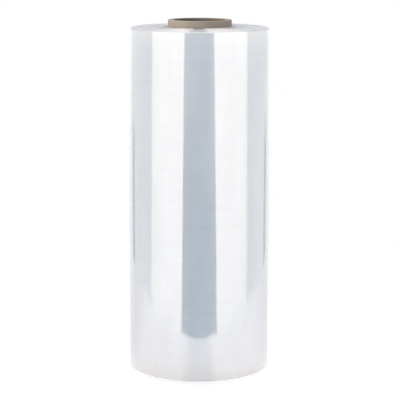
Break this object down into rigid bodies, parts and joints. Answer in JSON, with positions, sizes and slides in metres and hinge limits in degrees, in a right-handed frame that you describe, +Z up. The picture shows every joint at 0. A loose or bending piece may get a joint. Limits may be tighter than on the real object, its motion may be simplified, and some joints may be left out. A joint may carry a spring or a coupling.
{
  "type": "stretch wrap roll",
  "caption": "Full roll of clear stretch film wound on a board core that stands out past the film at both ends.",
  "frame": {"origin": "middle of the core's lower end, on the surface that the roll stands on", "axes": "+Z up along the core's axis; -Y towards the side that the picture shows"},
  "size_m": [0.2063, 0.2061, 0.522],
  "materials": {
    "core_board": "plain brown board with a fine helical seam",
    "film": "clear polyethylene film, whitish grey-blue where it is wound thick, glossy on the side and satin on the cut ends"
  },
  "bodies": {
    "root": {"core_tube": "core_board", "film_winding": "film"}
  },
  "joints": []
}
